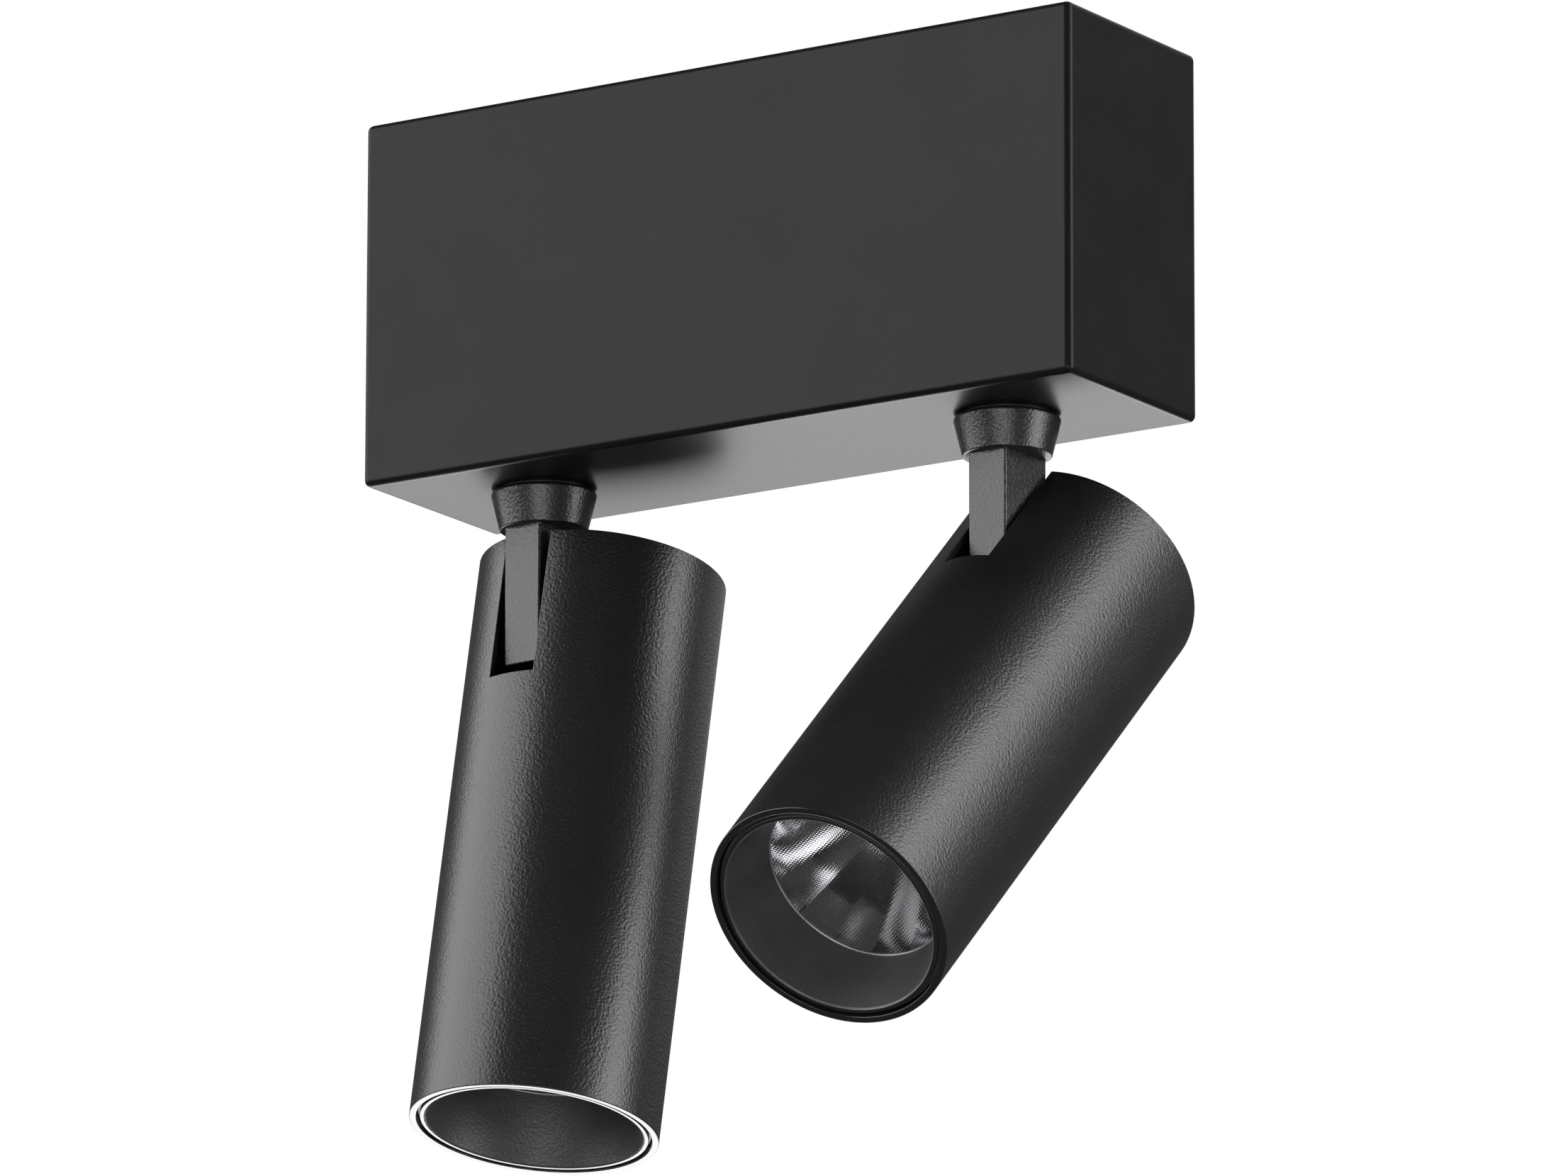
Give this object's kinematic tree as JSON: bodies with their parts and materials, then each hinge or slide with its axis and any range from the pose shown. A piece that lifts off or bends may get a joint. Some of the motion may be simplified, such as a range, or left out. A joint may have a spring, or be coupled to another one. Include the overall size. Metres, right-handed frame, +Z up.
{
  "type": "twin-head track spotlight",
  "caption": "Twin-head track spotlight: a rectangular driver box with magnets and spring contacts on top, and cylindrical heads below that swivel and tilt on short slotted stems.",
  "frame": {"origin": "centre of the driver box's top face, which seats against the track", "axes": "+Z up out of the top face, +X along the driver box, -Y the side that the heads tip their lenses to"},
  "size_m": [0.12, 0.0865, 0.1526],
  "materials": {
    "satin_black_coat": "satin powder coat",
    "black_plastic": "moulded, fine spark texture",
    "zinc_screws": "zinc plated",
    "nickel_plate": "nickel plated",
    "zinc_steel": "zinc plated",
    "gold_contact": "gold flashed",
    "spring_steel": "bright",
    "circuit_board": "solder mask",
    "brass_standoff": "turned",
    "ferrite": "matte",
    "copper_winding": "enamelled copper wire",
    "capacitor_sleeve": "shrink sleeve",
    "chip_resin": "moulded",
    "white_plastic": "moulded",
    "insulating_film": "film",
    "ptfe_washer": "low-friction washer",
    "textured_black_coat": "fine-textured powder coat",
    "black_steel": "black oxide",
    "black_washer": "low-friction washer",
    "black_anodised": "black anodised",
    "raw_aluminium": "extruded",
    "lead_sleeve": "silicone sleeve",
    "led_board_white": "white solder mask",
    "phosphor": "silicone phosphor",
    "reflector_chrome": "vacuum metallised",
    "clear_lens": "clear, micro-faceted front",
    "baffle_black": "deep matte, fine texture"
  },
  "bodies": {
    "driver_box": {"housing_shell": "satin_black_coat", "top_cover": "black_plastic", "cover_screws": "zinc_screws", "magnets": "nickel_plate", "magnet_keepers": "zinc_steel", "contact_carrier": "black_plastic", "contact_springs": "spring_steel", "driver_board": "circuit_board", "board_standoffs": "brass_standoff", "board_screws": "zinc_screws", "inductor_core": "ferrite", "inductor_winding": "copper_winding", "capacitors": "capacitor_sleeve", "driver_chips": "chip_resin", "output_connectors": "white_plastic", "insulating_sheet": "insulating_film", "friction_washer_left": "ptfe_washer", "friction_washer_right": "ptfe_washer"},
    "contact_plunger": {"contact_pins": "gold_contact"},
    "swivel_left": {"swivel_collar_left": "textured_black_coat", "stem_left": "textured_black_coat", "stop_washer_left": "zinc_steel", "spring_washer_left": "spring_steel", "swivel_nut_left": "zinc_steel"},
    "head_left": {"tilt_screw_left": "black_steel", "tilt_nut_left": "black_steel", "tilt_washers_left": "black_washer", "pivot_yoke_left": "black_anodised", "head_tube_left": "textured_black_coat", "rear_cap_left": "textured_black_coat", "rear_cap_screws_left": "black_steel", "heat_sink_left": "raw_aluminium", "led_leads_left": "lead_sleeve", "led_board_left": "led_board_white", "led_emitter_left": "phosphor", "led_holder_left": "white_plastic", "reflector_left": "reflector_chrome", "lens_left": "clear_lens", "anti_glare_baffle_left": "baffle_black"},
    "swivel_right": {"swivel_collar_right": "textured_black_coat", "stem_right": "textured_black_coat", "stop_washer_right": "zinc_steel", "spring_washer_right": "spring_steel", "swivel_nut_right": "zinc_steel"},
    "head_right": {"tilt_screw_right": "black_steel", "tilt_nut_right": "black_steel", "tilt_washers_right": "black_washer", "pivot_yoke_right": "black_anodised", "head_tube_right": "textured_black_coat", "rear_cap_right": "textured_black_coat", "rear_cap_screws_right": "black_steel", "heat_sink_right": "raw_aluminium", "led_leads_right": "lead_sleeve", "led_board_right": "led_board_white", "led_emitter_right": "phosphor", "led_holder_right": "white_plastic", "reflector_right": "reflector_chrome", "lens_right": "clear_lens", "anti_glare_baffle_right": "baffle_black"}
  },
  "joints": [
    {"name": "contact_travel", "type": "slide", "parent": "driver_box", "child": "contact_plunger", "axis": [0, 0, 1], "range_m": [-0.0012, 0], "stiffness_N_per_m": 250, "springref_m": 0.003, "deforming": ["contact_springs"]},
    {"name": "swivel_turn_left", "type": "hinge", "parent": "driver_box", "child": "swivel_left", "pos_m": [-0.0394, -0.0008, -0.054], "axis": [0, 0, 1], "range_deg": [-163.5, 172.5]},
    {"name": "head_tilt_left", "type": "hinge", "parent": "swivel_left", "child": "head_left", "pos_m": [-0.0394, -0.0008, -0.07495], "axis": [-0.9969, 0.0785, 0], "range_deg": [-10.2, 79.8]},
    {"name": "swivel_turn_right", "type": "hinge", "parent": "driver_box", "child": "swivel_right", "pos_m": [0.0394, -0.0008, -0.054], "axis": [0, 0, 1], "range_deg": [-165, 171]},
    {"name": "head_tilt_right", "type": "hinge", "parent": "swivel_right", "child": "head_right", "pos_m": [0.0394, -0.0008, -0.07495], "axis": [-0.9986, 0.0523, 0], "range_deg": [-45, 45]}
  ]
}
